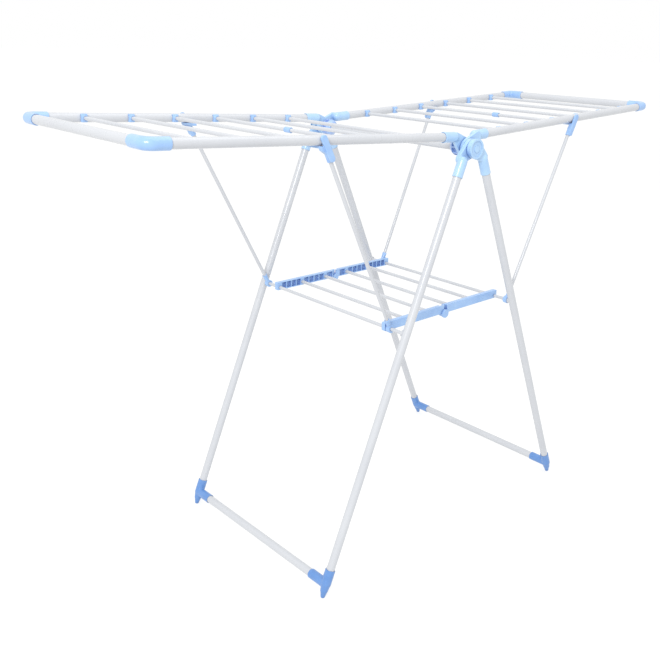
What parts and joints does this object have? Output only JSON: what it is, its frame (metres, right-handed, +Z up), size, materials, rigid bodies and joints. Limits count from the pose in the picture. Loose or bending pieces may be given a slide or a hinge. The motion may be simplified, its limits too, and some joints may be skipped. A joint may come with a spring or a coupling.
{
  "type": "clothes drying rack",
  "caption": "Folding gull-wing clothes airer: two hinged leg frames, two railed wings held up by stays, and a folding rod shelf between the legs.",
  "frame": {"origin": "on the floor, midway between the feet, under the pivot line", "axes": "+Z up, X along the two wings with the right wing towards +X, Y across the depth with the near side towards -Y"},
  "size_m": [1.4498, 0.512, 0.9662],
  "materials": {
    "white_enamel": "glossy white enamel",
    "sky_blue_plastic": "smooth moulded sky blue plastic",
    "foot_blue_plastic": "smooth moulded plastic, a stronger blue",
    "pin_steel": "plain drawn steel"
  },
  "bodies": {
    "hub": {"cross_tube": "white_enamel", "hub_cores": "sky_blue_plastic", "pivot_pins": "pin_steel", "hub_cap_near": "sky_blue_plastic", "hub_cap_far": "sky_blue_plastic"},
    "left_leg": {"left_leg_hub_near": "sky_blue_plastic", "left_leg_tube_near": "white_enamel", "left_foot_near": "foot_blue_plastic", "left_leg_hub_far": "sky_blue_plastic", "left_leg_tube_far": "white_enamel", "left_foot_far": "foot_blue_plastic", "left_foot_bar": "white_enamel", "left_axle_flanges": "white_enamel", "left_shelf_axle": "white_enamel"},
    "left_wing": {"left_wing_hub_near": "sky_blue_plastic", "left_wing_rail_near": "white_enamel", "left_wing_hub_far": "sky_blue_plastic", "left_wing_rail_far": "white_enamel", "left_wing_end_bar": "white_enamel", "left_wing_elbows": "sky_blue_plastic", "left_wing_rungs": "white_enamel", "left_rung_sockets": "sky_blue_plastic", "left_rung_sleeve": "sky_blue_plastic"},
    "left_shelf": {"left_shelf_rail_near": "sky_blue_plastic", "left_shelf_rail_far": "sky_blue_plastic", "left_shelf_rods": "white_enamel", "shelf_knobs": "sky_blue_plastic"},
    "right_leg": {"right_leg_hub_near": "sky_blue_plastic", "right_leg_tube_near": "white_enamel", "right_foot_near": "foot_blue_plastic", "right_leg_hub_far": "sky_blue_plastic", "right_leg_tube_far": "white_enamel", "right_foot_far": "foot_blue_plastic", "right_foot_bar": "white_enamel", "right_axle_flanges": "white_enamel", "right_shelf_axle": "white_enamel"},
    "right_wing": {"right_wing_hub_near": "sky_blue_plastic", "right_wing_rail_near": "white_enamel", "right_wing_hub_far": "sky_blue_plastic", "right_wing_rail_far": "white_enamel", "right_wing_end_bar": "white_enamel", "right_wing_elbows": "sky_blue_plastic", "right_wing_rungs": "white_enamel", "right_rung_sockets": "sky_blue_plastic", "right_rung_sleeve": "sky_blue_plastic"},
    "right_shelf": {"right_shelf_rail_near": "sky_blue_plastic", "right_shelf_rail_far": "sky_blue_plastic", "right_shelf_rods": "white_enamel"},
    "near_left_stay": {"stay_near_left": "white_enamel", "stay_eye_near_left": "sky_blue_plastic", "stay_clip_near_left": "sky_blue_plastic"},
    "far_left_stay": {"stay_far_left": "white_enamel", "stay_eye_far_left": "sky_blue_plastic", "stay_clip_far_left": "sky_blue_plastic"},
    "near_right_stay": {"stay_near_right": "white_enamel", "stay_eye_near_right": "sky_blue_plastic", "stay_clip_near_right": "sky_blue_plastic"},
    "far_right_stay": {"stay_far_right": "white_enamel", "stay_eye_far_right": "sky_blue_plastic", "stay_clip_far_right": "sky_blue_plastic"}
  },
  "joints": [
    {"name": "leg_fold", "type": "hinge", "parent": "hub", "child": "left_leg", "pos_m": [0, 0, 0.9], "axis": [0, -1, 0], "range_deg": [0, 22.5]},
    {"name": "right_leg_fold", "type": "hinge", "parent": "hub", "child": "right_leg", "pos_m": [0, 0, 0.9], "axis": [0, 1, 0], "range_deg": [0, 22.5]},
    {"name": "left_wing_fold", "type": "hinge", "parent": "left_leg", "child": "left_wing", "pos_m": [0, 0, 0.9], "axis": [0, -1, 0], "range_deg": [0, 65]},
    {"name": "right_wing_fold", "type": "hinge", "parent": "right_leg", "child": "right_wing", "pos_m": [0, 0, 0.9], "axis": [0, 1, 0], "range_deg": [0, 65]},
    {"name": "near_left_stay_swing", "type": "hinge", "parent": "left_leg", "child": "near_left_stay", "pos_m": [-0.17673, 0, 0.53613], "axis": [0, -1, 0], "range_deg": [0, 130]},
    {"name": "far_left_stay_swing", "type": "hinge", "parent": "left_leg", "child": "far_left_stay", "pos_m": [-0.17673, 0, 0.53613], "axis": [0, -1, 0], "range_deg": [0, 130]},
    {"name": "near_right_stay_swing", "type": "hinge", "parent": "right_leg", "child": "near_right_stay", "pos_m": [0.17673, 0, 0.53613], "axis": [0, 1, 0], "range_deg": [0, 130]},
    {"name": "far_right_stay_swing", "type": "hinge", "parent": "right_leg", "child": "far_right_stay", "pos_m": [0.17673, 0, 0.53613], "axis": [0, 1, 0], "range_deg": [0, 130]},
    {"name": "left_shelf_fold", "type": "hinge", "parent": "left_leg", "child": "left_shelf", "pos_m": [-0.17673, 0, 0.53613], "axis": [0, -1, 0], "range_deg": [0, 63]},
    {"name": "shelf_middle_fold", "type": "hinge", "parent": "left_shelf", "child": "right_shelf", "pos_m": [0, 0, 0.53013], "axis": [0, 1, 0], "range_deg": [0, 170]}
  ],
  "couplings": [
    {"joint": "right_leg_fold", "follows": "leg_fold", "ratio": 1},
    {"joint": "near_left_stay_swing", "follows": "left_wing_fold", "ratio": 2},
    {"joint": "far_left_stay_swing", "follows": "left_wing_fold", "ratio": 2},
    {"joint": "near_right_stay_swing", "follows": "right_wing_fold", "ratio": 2},
    {"joint": "far_right_stay_swing", "follows": "right_wing_fold", "ratio": 2},
    {"joint": "left_shelf_fold", "follows": "leg_fold", "ratio": 2.7394},
    {"joint": "shelf_middle_fold", "follows": "leg_fold", "ratio": 7.4787}
  ]
}
